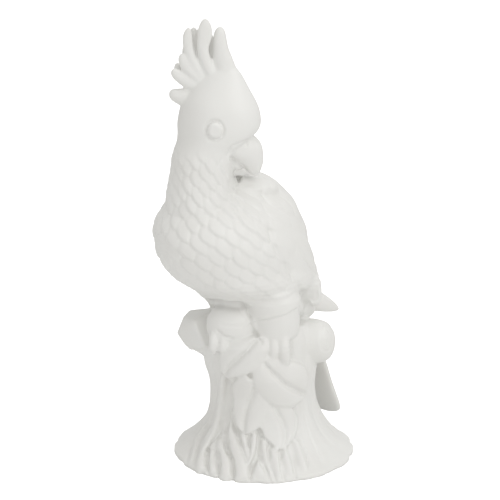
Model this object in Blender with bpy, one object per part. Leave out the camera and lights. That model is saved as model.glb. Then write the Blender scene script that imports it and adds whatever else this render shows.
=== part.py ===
"""Cockatoo on a tree stump: a slip-cast figurine in matt white porcelain, one hollow piece.

The bird looks back over its left shoulder, its tail hangs behind the stump, and leaves climb the bark.
The cast wall is even all over, and the inside is open at the foot, where the mould was poured.
Sizes are in millimetres here and become metres in the last step of each mesh. +Z is up, -Y faces the viewer.
"""

import math

import bmesh
import bpy
import numpy as np

MM = 0.001

# Casting
WALL = 5.0
FOOT_RIM = 8.0
CLAY_GRAIN = 1.15
FACES_KEPT = 11400

# Stump
STUMP_HEIGHT = 95.0
BASE_RADIUS = 62.0
WAIST_RADIUS = 35.5
STUMP_X = 6.8
FOOT_FORWARD = 8.0
FLUTE_DEPTH = 1.0

# Bird, placed on the stump's top
HEADING = math.radians(224.0)
BODY_X = -14.0
BODY_Y = -2.0
BODY_LENGTH = 108.0
BODY_WIDTH = 86.0
BODY_HEIGHT = 101.0
NECK_X = -34.0
NECK_Y = -17.0
HEAD_TURN = math.radians(352.0)
HEAD_LENGTH = 54.5
HEAD_WIDTH = 43.0
HEAD_Z = 234.0 - STUMP_HEIGHT

# Plumage
SCALES_ROUND = 35
SCALES_ROUND_NECK = 24
SCALE_ROW = 11.5
SCALE_LIFT = 1.6
WING_STEP = 1.6
TAIL_WIDTH = 34.0
TAIL_THICKNESS = 8.5

FORWARD = np.array([math.cos(HEADING), math.sin(HEADING), 0.0])
LEFT = np.array([-math.sin(HEADING), math.cos(HEADING), 0.0])
UP = np.array([0.0, 0.0, 1.0])


def clear_scene():
    for old in list(bpy.data.objects):
        bpy.data.objects.remove(old)


def smooth(points, count):
    """Points on a Catmull-Rom curve through the given ones; columns may be places or radii."""
    given = np.asarray(points, float)
    padded = np.vstack([2 * given[0] - given[1], given, 2 * given[-1] - given[-2]])
    places = np.linspace(0, len(given) - 1, count)
    span = np.minimum(places.astype(int), len(given) - 2)
    t = (places - span)[:, None]
    a, b, c, d = (padded[span + k] for k in range(4))
    return 0.5 * (2 * b + (c - a) * t + (2 * a - 5 * b + 4 * c - d) * t**2 + (3 * b - a - 3 * c + d) * t**3)


def step(value, low, high):
    """A soft step from 0 at low to 1 at high."""
    t = np.clip((value - low) / (high - low), 0, 1)
    return t * t * (3 - 2 * t)


def skin(rings):
    """A closed mesh through rings of points, each end capped."""
    mesh = bmesh.new()
    loops = [[mesh.verts.new(point) for point in ring] for ring in rings]
    count = len(loops[0])
    for low, high in zip(loops, loops[1:]):
        for k in range(count):
            nxt = (k + 1) % count
            mesh.faces.new((low[k], low[nxt], high[nxt], high[k]))
    mesh.faces.new(loops[0][::-1])
    mesh.faces.new(loops[-1])
    bmesh.ops.recalc_face_normals(mesh, faces=mesh.faces)
    return mesh


def level_loft(stations, count, segments=64, relief=None):
    """A loft of level ellipses. A station is (z, x, y, half length, half width, heading in degrees)."""
    turn = np.linspace(0, 2 * math.pi, segments, endpoint=False)
    rings = []
    for z, x, y, length, width, heading in smooth(stations, count):
        h = math.radians(heading)
        along, across = length * np.cos(turn), width * np.sin(turn)
        if relief is not None:
            scale = 1 + relief(turn, z) / max(length, width)
            along, across = along * scale, across * scale
        rings.append(
            np.stack(
                [
                    x + along * math.cos(h) - across * math.sin(h),
                    y + along * math.sin(h) + across * math.cos(h),
                    np.full(segments, z),
                ],
                axis=1,
            )
        )
    return skin(rings)


def limb(path, widths, depths, side, count=24, segments=20, blunt=4.0):
    """A rounded limb along a smooth path: ellipses that are wide along side, closed off round at both ends."""
    centres = smooth(path, count)
    wide = smooth(np.array(widths, float)[:, None], count)[:, 0]
    deep = smooth(np.array(depths, float)[:, None], count)[:, 0]
    travel = np.gradient(centres, axis=0)
    travel /= np.linalg.norm(travel, axis=1)[:, None]
    share = np.linspace(-1, 1, count)
    share = np.sign(share) * (1 - (1 - np.abs(share)) ** 1.6) * 0.9995
    centres = np.stack([np.interp((share + 1) / 2, np.linspace(0, 1, count), centres[:, k]) for k in range(3)], axis=1)
    close = (1 - np.abs(share) ** blunt) ** 0.5
    turn = np.linspace(0, 2 * math.pi, segments, endpoint=False)
    rings = []
    for k in range(count):
        across = np.asarray(side, float) - travel[k] * np.dot(side, travel[k])
        across /= np.linalg.norm(across)
        out = np.cross(travel[k], across)
        r = close[k]
        rings.append(
            centres[k]
            + np.outer(np.cos(turn) * wide[k] * r, across)
            + np.outer(np.sin(turn) * deep[k] * r, out)
        )
    return skin(rings)


def ball(centre, radii, heading=0.0):
    """An ellipsoid, its first radius along the heading."""
    mesh = bmesh.new()
    bmesh.ops.create_uvsphere(mesh, u_segments=32, v_segments=20, radius=1.0)
    c, s = math.cos(heading), math.sin(heading)
    for vert in mesh.verts:
        x, y, z = vert.co.x * radii[0], vert.co.y * radii[1], vert.co.z * radii[2]
        vert.co = (centre[0] + c * x - s * y, centre[1] + s * x + c * y, centre[2] + z)
    return mesh


# Stump: the bark's girth by height, from the flared foot through the waist to the perch
def stump_stations(shrink=0.0):
    """Rows of (z, x, y, half width, half depth, heading). The flare reaches further to the front than behind."""
    flare = [
        (-6.0, 0.95, 0.8),
        (0.0, 0.96, 0.8),
        (2.4, 0.98, 0.8),
        (5.0, 0.80, 0.6),
        (9.4, 0.57, 0.6),
        (13.9, 0.41, 1.0),
        (18.5, 0.27, 1.2),
        (23.0, 0.17, 1.0),
        (28.0, 0.09, 0.6),
        (34.0, 0.03, 0.2),
        (43.0, 0.0, -0.2),
        (50.0, 0.01, -0.3),
        (57.0, 0.05, -0.8),
        (64.0, 0.10, -1.6),
    ]
    grow = BASE_RADIUS - WAIST_RADIUS
    rows = [(STUMP_X + dx, WAIST_RADIUS + grow * share - shrink, share, z) for z, share, dx in flare]
    rows += [
        (STUMP_X - 3.0, WAIST_RADIUS + 3.0 - shrink, 0.0, STUMP_HEIGHT - 20),
        (STUMP_X - 4.0, WAIST_RADIUS + 2.5 - shrink, 0.0, STUMP_HEIGHT - 8),
        (STUMP_X - 4.0, WAIST_RADIUS - 1.5 - shrink, 0.0, STUMP_HEIGHT - 1),
    ]
    return [(z, x, -FOOT_FORWARD * share, r, r * (0.92 - 0.06 * share), 0.0) for x, r, share, z in rows]


def bark(turn, z):
    """Upright flutes in the bark, deeper and wavier towards the foot."""
    wander = 0.35 * math.sin(z * 0.055) + 0.1 * math.sin(z * 0.13)
    coarse = np.abs(np.sin(8 * turn + 2.5 * wander + 0.6 * np.sin(3 * turn)))
    fine = np.abs(np.sin(19 * turn - 2.0 * wander))
    return FLUTE_DEPTH * (1.5 * coarse**0.7 + 0.5 * fine**0.8 - 1.3) * (1 - 0.6 * step(z, 8.0, -2.0))


def stump_at(z):
    """Centre and radii of the bark at one height."""
    rows = np.array(stump_stations())
    return [np.interp(z, rows[:, 0], rows[:, k]) for k in (1, 2, 3, 4)]


def on_stump(x, z, lift=0.0):
    """A point on the front of the bark, seen at this x and height."""
    cx, cy, rx, ry = stump_at(z)
    share = np.clip((x - cx) / rx, -0.97, 0.97)
    y = cy - ry * math.sqrt(1 - share**2)
    normal = np.array([share / rx, -math.sqrt(1 - share**2) / ry, 0.0])
    normal /= np.linalg.norm(normal)
    return np.array([x, y, z]) + normal * lift


def leaf(rib, left, right, lift, fold):
    """A leaf between its left and right edges, folded along its rib: three lines of (x, z) on the bark."""
    lines = [smooth(line, 19) for line in (left, rib, right)]
    across = np.linspace(-1, 1, 17)
    top, under = [], []
    for near_edge, spine, far_edge in zip(*lines):
        for u in across:
            edge = near_edge if u < 0 else far_edge
            place = spine + (edge - spine) * abs(u)
            from_rib = np.linalg.norm(edge - spine) * abs(u)
            rise = lift * (0.5 + 0.5 * math.sqrt(1 - abs(u) ** 3)) - fold * math.exp(-((from_rib / 1.6) ** 2))
            top.append(on_stump(place[0], place[1], rise))
            under.append(on_stump(place[0], place[1], -4.0))
    mesh = bmesh.new()
    row, rows = len(across), len(lines[0])
    upper = [mesh.verts.new(p) for p in top]
    lower = [mesh.verts.new(p) for p in under]
    for i in range(rows - 1):
        for k in range(row - 1):
            a, b, c, d = i * row + k, i * row + k + 1, (i + 1) * row + k + 1, (i + 1) * row + k
            mesh.faces.new((upper[a], upper[b], upper[c], upper[d]))
            mesh.faces.new((lower[d], lower[c], lower[b], lower[a]))
    rim = [k for k in range(row)]
    rim += [i * row + row - 1 for i in range(1, rows)]
    rim += [(rows - 1) * row + k for k in range(row - 2, -1, -1)]
    rim += [i * row for i in range(rows - 2, 0, -1)]
    for a, b in zip(rim, rim[1:] + rim[:1]):
        mesh.faces.new((upper[a], lower[a], lower[b], upper[b]))
    bmesh.ops.recalc_face_normals(mesh, faces=mesh.faces)
    return mesh


def root_on_bark(points, radii, lift):
    """A root or vine that runs down the bark through the given (x, z) places."""
    path = [on_stump(x, z, lift) for x, z in points]
    return limb(path, radii, np.array(radii) * 0.85, (1, 0, 0), segments=14, blunt=6)


def facets(corners, edge):
    """A flat-faced lump over the given corners, its edges eased."""
    mesh = bmesh.new()
    for corner in corners:
        mesh.verts.new(corner)
    bmesh.ops.convex_hull(mesh, input=mesh.verts)
    bmesh.ops.bevel(mesh, geom=mesh.edges, offset=edge, segments=2, affect="EDGES")
    return mesh


def stump_forms():
    top = STUMP_HEIGHT
    forms = [level_loft(stump_stations(), 60, segments=160, relief=bark)]
    # Broken branch stubs carry the perch to both sides; the left one is snapped off in flat facets
    stubs = [
        ([(-2, 0, -17), (-22, -2, -15), (-36, -4, -11.5), (-47, -5, -9)], [17, 17, 14, 11], [16, 16, 15, 11]),
        ([(12, 0, -19), (28, -3, -17.5), (41, -4, -16), (54, -6, -15.3)], [16.5, 17, 15.6, 13.4], [15, 15, 14, 11.5]),
        ([(40, -6, -11), (46.5, -12.5, -10.5), (49.5, -15.5, -10.3)], [10, 11, 10.5], [10, 11, 10.5]),
    ]
    for path, tall, deep in stubs:
        path = [(x, y, top + z) for x, y, z in path]
        forms.append(limb(path, tall, deep, (0, 0, 1), blunt=6, segments=28))
    corners = [
        (-43, -8, 7.5), (-26, -3, 9), (-26, 10, 8), (-46, 6, 7), (-46.5, -6, 6.5), (-52, -6, -8), (-51, 4, -9),
        (-35, -27, -15), (-27, -24, -11), (-44, -14, -19), (-30, 6, -17),
    ]
    forms.append(facets([(x, y, top + z) for x, y, z in corners], 1.6))
    # Leaves on the front of the bark: rib, left edge and right edge, from the leaf's root to its tip
    for rib, left, right, lift, fold in [
        (
            [(4.1, 0), (1.3, -3.2), (-3.2, -8.9), (-9.7, -16.9), (-13.7, -22.3), (-17, -31.4)],
            [(4.1, 0), (-6.4, -1.5), (-15.3, -4.6), (-20, -12.6), (-19.4, -22.7), (-17, -31.4)],
            [(4.1, 0), (9.1, -2.5), (9.2, -10.7), (1.7, -22.7), (-8, -28.2), (-17, -31.4)],
            7.2,
            3.0,
        ),
        (
            [(6, -15), (10.7, -22.5), (15.7, -28.6), (21.5, -35.6), (27.4, -41.3), (33.4, -47.5)],
            [(6, -15), (-0.1, -24.3), (2.5, -38.2), (11.8, -48.8), (24.1, -53.2), (33.4, -47.5)],
            [(6, -15), (10.5, -12), (21, -18), (31.2, -23.9), (34, -33.4), (33.4, -47.5)],
            6.2,
            3.0,
        ),
        (
            [(0.2, -30.5), (0.9, -39.3), (-2.1, -48.8), (-4.2, -57.6), (-5.2, -64), (-5.3, -70.7)],
            [(0.2, -30.5), (-6.4, -26.5), (-13.2, -37.4), (-13.6, -52), (-11.6, -63.4), (-5.3, -70.7)],
            [(0.2, -30.5), (6, -41.8), (11.4, -49.4), (8, -59), (3, -66.8), (-5.3, -70.7)],
            4.6,
            2.4,
        ),
        (
            [(12.6, -49), (16.3, -56.5), (19.3, -63.1), (20.9, -69), (20.9, -73.6), (19.4, -79.4)],
            [(12.6, -49), (8.5, -55.9), (4.8, -64.8), (7.4, -71.2), (12.6, -75.8), (19.4, -79.4)],
            [(12.6, -49), (21.7, -51), (27.9, -57.8), (29.3, -65.9), (26.3, -74), (19.4, -79.4)],
            4.0,
            2.2,
        ),
    ]:
        forms.append(leaf(*([(x, top + z) for x, z in line] for line in (rib, left, right)), lift, fold))
    # Roots over the foot and up between the leaves: places, radii and how far they stand out
    for points, radii, lift in [
        ([(-17, 33), (-16, 25.4), (-7.5, 18), (-3, 10.8), (-4, -3)], [2.6, 3.8, 4.6, 5.6, 6.6], 0.8),
        ([(-9.6, 28), (-6.3, 21.3), (-3, 12)], [2.0, 2.6, 2.4], 0.4),
        ([(2.4, 29), (0.6, 20.5), (-2.4, 10)], [3.2, 3.4, 2.6], 0.4),
        ([(5, 27), (7, 15.5), (11.6, 8.6), (16, -3)], [2.6, 3.3, 3.8, 4.4], 0.4),
        ([(13.8, 19.6), (14.8, 12.9), (17.7, 6.7), (20.4, -3)], [3.8, 4.0, 4.0, 4.0], 0.8),
        ([(21.6, 22), (22.8, 15), (24.6, 8), (27, -3)], [2.8, 3.6, 3.8, 4.0], 0.4),
        ([(27, 27), (30.4, 19.7), (33.4, 11.2), (37, -2)], [2.2, 3.0, 3.6, 4.2], 0.0),
        ([(35, 28), (38.6, 18.4), (42, 11), (46, -2)], [2.0, 2.8, 3.4, 4.0], -0.2),
        ([(4.4, 14.5), (4.4, 7), (5.2, -4)], [1.8, 5.6, 8.5], 0.4),
        ([(-18.6, 31), (-23, 23), (-28.5, 15), (-35, 4), (-38, -3)], [2.6, 4.0, 4.8, 5.6, 6.0], 0.4),
        ([(-21.5, 21), (-21.5, 11), (-21.5, -6)], [4.6, 8.6, 9.0], 0.6),
        ([(-17.5, top - 33), (-18.5, top - 45), (-19, 38), (-21, 27)], [2.0, 2.6, 2.8, 2.6], 0.4),
    ]:
        forms.append(root_on_bark(points, radii, lift))
    return forms


# Bird: places on the bird are (forward, left, up) from the middle of its perch
def bird(forward, left, up):
    base = np.array([BODY_X, BODY_Y, STUMP_HEIGHT])
    return base + FORWARD * forward + LEFT * left + UP * up


def torso_stations(shrink=0.0):
    """Height share, forward and left shift, length share and width share of the body."""
    rows = [
        (-0.02, -10, 0, 0.40, 0.42),
        (0.08, -16, 0, 0.53, 0.64),
        (0.17, -15, 2, 0.67, 0.80),
        (0.25, -13, 3.5, 0.78, 0.95),
        (0.34, -7, 3, 0.88, 1.01),
        (0.42, -3, 1, 0.94, 1.00),
        (0.50, -1, 0, 0.98, 1.02),
        (0.59, 1, 0, 0.99, 1.01),
        (0.68, 3, -1, 0.96, 0.97),
        (0.78, 3, -1, 0.87, 0.87),
        (0.86, 2, -2, 0.73, 0.73),
        (0.92, 0, -1, 0.57, 0.56),
        (0.965, -2, 0, 0.39, 0.38),
        (0.985, -3, 0, 0.22, 0.22),
    ]
    out = []
    for share, shift, aside, length, width in rows:
        x, y, z = bird(shift, aside, BODY_HEIGHT * share)
        out.append(
            (z, x, y, BODY_LENGTH / 2 * length - shrink, BODY_WIDTH / 2 * width - shrink, math.degrees(HEADING))
        )
    return out


def head_stations(shrink=0.0):
    """The neck and head, from inside the breast to the crown."""
    turn, body = math.degrees(HEAD_TURN), math.degrees(HEADING)
    half, wide = HEAD_LENGTH / 2, HEAD_WIDTH / 2
    rows = [
        (-78, 0.0, 0.5, 0.88, 1.00, body + 20),
        (-62, 0.5, 0.0, 0.90, 1.04, body + 40),
        (-50, 0.5, 0.0, 0.85, 1.02, body + 70),
        (-40, 0.4, 0.0, 0.78, 0.97, turn - 25),
        (-32, 0.6, 0.5, 0.755, 0.95, turn - 10),
        (-24, 0.9, 0.5, 0.76, 0.95, turn),
        (-17, 2.6, 1.0, 0.79, 0.96, turn),
        (-11, 6.8, 1.4, 0.875, 0.98, turn),
        (-6, 10.4, 1.6, 0.95, 0.99, turn),
        (0, 12.2, 2.0, 0.99, 1.00, turn),
        (8, 12.6, 2.0, 0.95, 0.93, turn),
        (15, 12.4, 2.0, 0.86, 0.82, turn),
        (21, 12.6, 2.0, 0.73, 0.66, turn),
        (27, 13.6, 2.0, 0.58, 0.48, turn),
        (32, 14.4, 2.0, 0.45, 0.33, turn),
        (36, 15.0, 2.0, 0.31, 0.21, turn),
        (41, 14.6, 2.0, 0.16, 0.11, turn),
        (44, 14.0, 2.0, 0.06, 0.05, turn),
    ]
    return [
        (STUMP_HEIGHT + HEAD_Z + dz, NECK_X + dx, NECK_Y + dy, half * a - shrink, wide * b - shrink, heading)
        for dz, dx, dy, a, b, heading in rows
    ]


def head(x, y, z):
    """A point near the head, from the middle of the skull. x runs to the beak, y to the far side."""
    return np.array([NECK_X + 11.7 + x, NECK_Y + 2.0 + y, STUMP_HEIGHT + HEAD_Z + z])


def crest_forms():
    """The crest: long blades in a near and a far row, fanned up and back from the crown."""
    blades = [
        # Distance from the head's middle, places (x, z) from root to tip, half widths, half thickness
        (-3.5, [(0, 22), (-2.5, 29), (-7, 39), (-9.3, 48.5), (-7.9, 58.7), (-7.6, 68.2)],
         [4.6, 4.2, 3.8, 4.0, 5.0, 3.6], 2.8),
        (-0.5, [(7, 18), (6.4, 27), (3.8, 38.4), (1.8, 47.8), (1.4, 57.2), (2.2, 62.2)],
         [8.6, 7.8, 6.6, 5.2, 4.0, 2.8], 4.4),
        (4.5, [(0, 26), (-3.2, 40), (-5, 50.6), (-4.9, 57)], [3.4, 3.4, 3.4, 2.6], 2.4),
        (-2.5, [(-5, 24), (-8.8, 29.6), (-13.8, 36.5), (-17.5, 45.1), (-19, 54.4), (-18, 62.4)],
         [4, 3.6, 3.4, 3.4, 3.4, 2.6], 2.5),
        (2.5, [(-3, 22), (-6.4, 27.6), (-11.4, 37.5), (-14.6, 46.1), (-15.8, 54.7), (-14.6, 61.6)],
         [4.2, 3.8, 3.6, 3.4, 3.4, 2.6], 2.5),
        (-2.5, [(-8, 22), (-12.2, 28.6), (-18.5, 35.4), (-21.5, 40.2), (-22.6, 45.7)],
         [4.2, 4.2, 4.0, 3.6, 2.6], 2.6),
        (-2.0, [(-8, 20), (-13.9, 24.2), (-20.7, 27.7), (-26.1, 31.8), (-28.4, 35.6)],
         [4.6, 4.8, 4.4, 3.8, 2.6], 2.9),
        (-1.0, [(-6, 13), (-14, 15.2), (-21, 16.4), (-27, 18.3), (-30.6, 21)],
         [8.0, 7.8, 6.4, 4.8, 2.8], 4.2),
        (1.5, [(-2, 18), (-8, 28), (-13, 38), (-15, 48)], [9.0, 9.5, 7.5, 4.0], 2.8),
        (6.5, [(-2, 20), (-6, 30), (-11, 42), (-12.6, 52), (-11.6, 60)], [4.0, 3.8, 3.6, 3.6, 2.6], 2.5),
        (5.5, [(-7, 20), (-12.5, 28.6), (-17.5, 36), (-20, 43), (-20.4, 50)], [4.0, 3.8, 3.6, 3.4, 2.6], 2.5),
        (5.0, [(-8, 18), (-14.5, 23), (-21, 27.5), (-25, 33), (-26, 38)], [4.0, 4.2, 4.0, 3.6, 2.6], 2.6),
    ]
    forms = []
    for y, places, widths, thick in blades:
        shares = np.linspace(0.4, 1.0, len(places))
        path = [head(x, y * share, z) for share, (x, z) in zip(shares, places)]
        forms.append(limb(path, widths, thick * np.linspace(1.5, 0.7, len(places)), (1, 0, 0.5), blunt=7))
    return forms


def face_forms():
    forms = []
    # Upper beak, hooked over the lower one
    forms.append(
        limb(
            [
                head(3, 0, -17),
                head(11, 0, -16),
                head(17.4, 0, -18),
                head(21.2, 0, -24.6),
                head(23, 0, -30.8),
                head(24.2, 0, -36),
            ],
            [11, 11.6, 10.8, 8.2, 5.2, 2.4],
            [6.4, 8.6, 10.8, 8.4, 5.4, 2.2],
            (0, 1, 0),
            blunt=7,
        )
    )
    forms.append(
        limb([head(3, 0, -25), head(9, 0, -30), head(15, 0, -33.6)], [8, 7, 4.6], [6.4, 5.6, 4.0], (0, 1, 0))
    )
    # Eyes, a flat dome on each side
    for side in (-1, 1):
        forms.append(ball(head(-1.8, side * (HEAD_WIDTH / 2 - 1.2), 0.2), (5.3, 2.6, 5.8)))
    return forms


def leg_forms():
    forms = []
    low = STUMP_HEIGHT
    # Left leg: two feathered cuffs, one in the other, under a tuft of belly down. Then the right leg,
    # drawn up in a ball of down. Rows are height, x, y and the two half widths.
    for rows in (
        [(-3, 12.5, -21.5, 9, 9), (0.4, 12.5, -22.3, 12.6, 12.6), (3, 12.8, -22.5, 14.4, 14.2),
         (8, 12.9, -22.6, 15.1, 14.9), (13, 12.6, -22.4, 15, 14.6), (18, 12.4, -22, 13, 13)],
        [(13.6, 12.2, -22, 13.2, 13.2), (14.8, 12.2, -22, 15.4, 15.4), (18, 12, -22, 16.2, 15.9),
         (23, 12, -21.5, 16.3, 15.8), (27, 12, -20.5, 15, 14.6)],
        [(23.6, 11, -18, 11, 12), (24.8, 11.5, -20.5, 15.4, 16.4), (28, 11, -20.6, 16.6, 17.4),
         (33, 8, -18, 16, 17), (39, 3, -14, 12, 14)],
        [(-9, -15, -22, 10, 8), (-5, -14.8, -23.4, 14.4, 11.4), (0, -14.5, -24, 16.6, 13.2),
         (5, -14.5, -24, 17, 13.4), (10, -14.5, -23.8, 16.2, 12.8), (15, -14.5, -23.4, 14, 11.6),
         (18.4, -14.5, -23, 10.8, 9.4), (20, -14.5, -22.5, 6, 6)],
    ):
        forms.append(level_loft([(low + z, x, y, a, b, 0) for z, x, y, a, b in rows], 20, segments=36))
    # Toes over the edge of the perch
    for path, radii in [
        ([(12.6, -33, 2), (12.9, -37.4, -6), (12.6, -37.0, -14.6)], [2.7, 3.1, 1.7]),
        ([(20.2, -30, 4), (20.4, -36.4, -7), (22.0, -34.6, -19.4)], [3.8, 4.0, 3.2]),
        ([(-25.2, -25, 1), (-25.4, -31, -6), (-25.2, -31.4, -13.4)], [2.9, 3.1, 2.3]),
        ([(-19.6, -28, -1), (-19.4, -33.6, -5.4), (-20.2, -34.4, -10.2)], [3.0, 3.4, 2.8]),
    ]:
        path = [(x, y, low + z) for x, y, z in path]
        forms.append(limb(path, radii, radii, (1, 0, 0), count=16, segments=14, blunt=5))
    return forms


def wing_forms():
    """Folded wings: broad shells on the flanks whose tips cross over the tail."""
    near = [(5, 18, 72), (-4, 29, 62), (-15, 32, 47), (-27, 31, 29), (-37, 29.5, 11), (-46, 28, -4)]
    far = [(5, -19, 75), (-4, -29, 64), (-18, -29, 48), (-34, -22, 27), (-54, -4, 8), (-70, 8, -3), (-87, 18, -12.4)]
    forms = []
    for places, wide, deep in (
        (near, [9, 18, 21, 19, 14, 7], [5, 9, 11, 10, 7, 3]),
        (far, [9, 18, 21, 21, 13, 9, 6], [5, 9, 11, 11, 7, 4, 3]),
    ):
        path = [bird(*place) for place in places]
        lean = FORWARD * 0.8 - UP * 0.6
        forms.append(limb(path, wide, deep, lean, count=36, segments=40, blunt=5))
    return forms


def tail_forms():
    """The tail hangs behind the stump, square at its end."""
    path = [bird(-20, -8, 26), bird(-46, 1, -2), bird(-63, 6, -34), bird(-73, 9, -64), bird(-82.5, 12.5, -90)]
    half = TAIL_WIDTH / 2
    return [
        limb(
            path,
            [half * 0.9, half * 0.95, half, half, half * 0.94],
            [TAIL_THICKNESS] + [TAIL_THICKNESS / 2] * 4,
            tuple(LEFT),
            count=40,
            segments=32,
            blunt=22,
        )
    ]


def section_share(stations, points):
    """How far points lie from a loft's own axis, as a share of its skin, with their turn and height share."""
    rows = np.array(stations)
    z = points[:, 2]
    cx, cy, a, b, heading = (np.interp(z, rows[:, 0], rows[:, k]) for k in range(1, 6))
    h = np.radians(heading)
    dx, dy = points[:, 0] - cx, points[:, 1] - cy
    along = dx * np.cos(h) + dy * np.sin(h)
    across = -dx * np.sin(h) + dy * np.cos(h)
    share = np.hypot(along / a, across / b)
    inside = (z > rows[0, 0]) & (z < rows[-1, 0])
    return np.where(inside, share, 9.0)


def scale_relief(u, v):
    """Soft feather pads, one to each column and row of a honeycomb in slanting rows, raised to their tips."""
    rise = np.zeros_like(u)
    done = np.zeros(u.shape, bool)
    along, row_at = v + 0.45 * u, v - 0.55 * u
    for back in (1, 0):
        row = np.floor(row_at) - back
        place = along + 0.07 * np.sin(5.1 * row)
        number = np.floor(place) * 3.1 + row * 7.3
        across = np.abs(place % 1.0 - 0.5) * 2
        low = row_at - row
        edge = 1 + 0.3 * (1 - across**2.2) + 0.06 * np.sin(3.7 * number)
        here = ~done & (low <= edge)
        pad = (1 - 0.7 * across**5) * (0.4 + 0.6 * np.clip(low, 0, 1))
        rise = np.where(here, pad * np.clip((edge - low) / 0.2, 0, 1) ** 0.6, rise)
        done |= here
    return rise


def plumage(points):
    """How far each point of the skin stands out for the feathers."""
    torso, neck = section_share(torso_stations(), points), section_share(head_stations(), points)
    low, high = STUMP_HEIGHT + 0.2 * BODY_HEIGHT, STUMP_HEIGHT + HEAD_Z - 20
    z = points[:, 2]
    lean = step(z, low + 10, high)
    cx = BODY_X + 4.0 + (NECK_X - BODY_X - 4.0) * lean
    cy = BODY_Y + (NECK_Y - BODY_Y) * lean
    # Columns are counted from the front of the breast; they close up towards the neck
    turn = (np.arctan2(points[:, 1] - cy, points[:, 0] - cx) / (2 * math.pi) + 0.78) % 1 - 0.5
    u = turn * (SCALES_ROUND + (SCALES_ROUND_NECK - SCALES_ROUND) * step(z, low + 30, high + 10))
    v = -(z - low + 0.08 * (points[:, 0] - BODY_X)) / SCALE_ROW
    mask = step(z, low, low + 22) * (1 - step(z, high - 4, high + 10))
    mask *= 1 - step(np.minimum(np.abs(torso - 1), np.abs(neck - 1)), 0.12, 0.25)
    # Behind these lines the wings lie over the flanks, and long feathers run down to their tips
    up = (z - STUMP_HEIGHT) / BODY_HEIGHT
    around = np.degrees(np.arctan2(points[:, 1] - BODY_Y, points[:, 0] - BODY_X))
    ahead = np.abs((around - math.degrees(HEADING) + 180) % 360 - 180)
    border = np.interp(up, [0.13, 0.30, 0.455, 0.595, 0.73, 0.86], [124, 112, 97, 88, 85, 100])
    wing = step(ahead - border, -1.5, 1.5) * step(torso, 0.9, 1.0) * (torso < 2.2)
    wing *= step(up, -0.11, -0.03) * (1 - step(up, 0.8, 0.9))
    vanes = np.abs(((ahead - border + (up - 0.45) * 12) / 11.0) % 1.0 - 0.12)
    long = (1 - step(up, 0.465, 0.625)) * step(ahead - border, 18, 24)
    wing_rise = WING_STEP * wing + 0.9 * wing * long * (np.clip(vanes * 4, 0, 1) - 1)
    return SCALE_LIFT * mask * scale_relief(u, v) * (1 - wing * long) * (1 - 0.7 * wing) + wing_rise


def joined(forms, name):
    """All forms in one mesh, in metres."""
    data = bpy.data.meshes.new(name)
    whole = bmesh.new()
    for form in forms:
        part = bpy.data.meshes.new("form")
        form.to_mesh(part)
        form.free()
        whole.from_mesh(part)
        bpy.data.meshes.remove(part)
    bmesh.ops.scale(whole, vec=(MM, MM, MM), verts=whole.verts)
    whole.to_mesh(data)
    whole.free()
    obj = bpy.data.objects.new(name, data)
    bpy.context.scene.collection.objects.link(obj)
    return obj


def evaluated(obj):
    graph = bpy.context.evaluated_depsgraph_get()
    return bpy.data.meshes.new_from_object(obj.evaluated_get(graph))


def drop_bubbles(mesh):
    """Only the largest closed skin stays: the melt can seal small bubbles between the forms."""
    whole = bmesh.new()
    whole.from_mesh(mesh)
    left, largest = set(whole.verts), set()
    while left:
        found, edge = set(), {left.pop()}
        while edge:
            found |= edge
            edge = {other.other_vert(vert) for vert in edge for other in vert.link_edges} - found
        left -= found
        if len(found) > len(largest):
            largest = found
    bmesh.ops.delete(whole, geom=[vert for vert in whole.verts if vert not in largest], context="VERTS")
    whole.to_mesh(mesh)
    whole.free()


def settle(obj):
    """The modifiers of obj become its mesh."""
    mesh = evaluated(obj)
    drop_bubbles(mesh)
    obj.modifiers.clear()
    old = obj.data
    obj.data = mesh
    bpy.data.meshes.remove(old)
    return obj


def melt(obj, grain, rounds=0):
    """The forms of obj run into one skin, which is then eased."""
    remesh = obj.modifiers.new("melt", "REMESH")
    remesh.mode = "VOXEL"
    remesh.voxel_size = grain * MM
    if rounds:
        ease = obj.modifiers.new("ease", "SMOOTH")
        ease.factor = 0.5
        ease.iterations = rounds
    return settle(obj)


def raise_relief(obj):
    mesh = obj.data
    count = len(mesh.vertices)
    points, normals = np.empty(count * 3), np.empty(count * 3)
    mesh.vertices.foreach_get("co", points)
    mesh.vertices.foreach_get("normal", normals)
    points = points.reshape(-1, 3) / MM
    normals = normals.reshape(-1, 3)
    points += normals * plumage(points)[:, None]
    mesh.vertices.foreach_set("co", (points * MM).ravel())
    mesh.update()


def hollow():
    """What the slip leaves empty: stump, body and neck, inside an even wall."""
    inner = BASE_RADIUS - FOOT_RIM
    stump = [(z, x, y, min(a, inner), min(b, inner * 0.97), h) for z, x, y, a, b, h in stump_stations(WALL + 1)]
    forms = [level_loft(stump, 26, segments=48)]
    forms.append(level_loft(torso_stations(WALL)[1:-1], 20, segments=40))
    forms.append(level_loft(head_stations(WALL)[:-4], 16, segments=32))
    forms.append(ball(bird(-13, 0, 2), (15, 15, 26)))
    return melt(joined(forms, "hollow"), 4.0, 6)


def slab():
    """Everything under the table top, so that the foot stands flat."""
    mesh = bmesh.new()
    bmesh.ops.create_cube(mesh, size=1.0)
    bmesh.ops.scale(mesh, vec=(200, 200, 40), verts=mesh.verts)
    bmesh.ops.translate(mesh, vec=(0, 0, -20), verts=mesh.verts)
    return joined([mesh], "under_foot")


def cut(obj, cutter, name):
    away = obj.modifiers.new(name, "BOOLEAN")
    away.operation = "DIFFERENCE"
    away.solver = "EXACT"
    away.object = cutter
    settle(obj)
    bpy.data.objects.remove(cutter)


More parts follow.
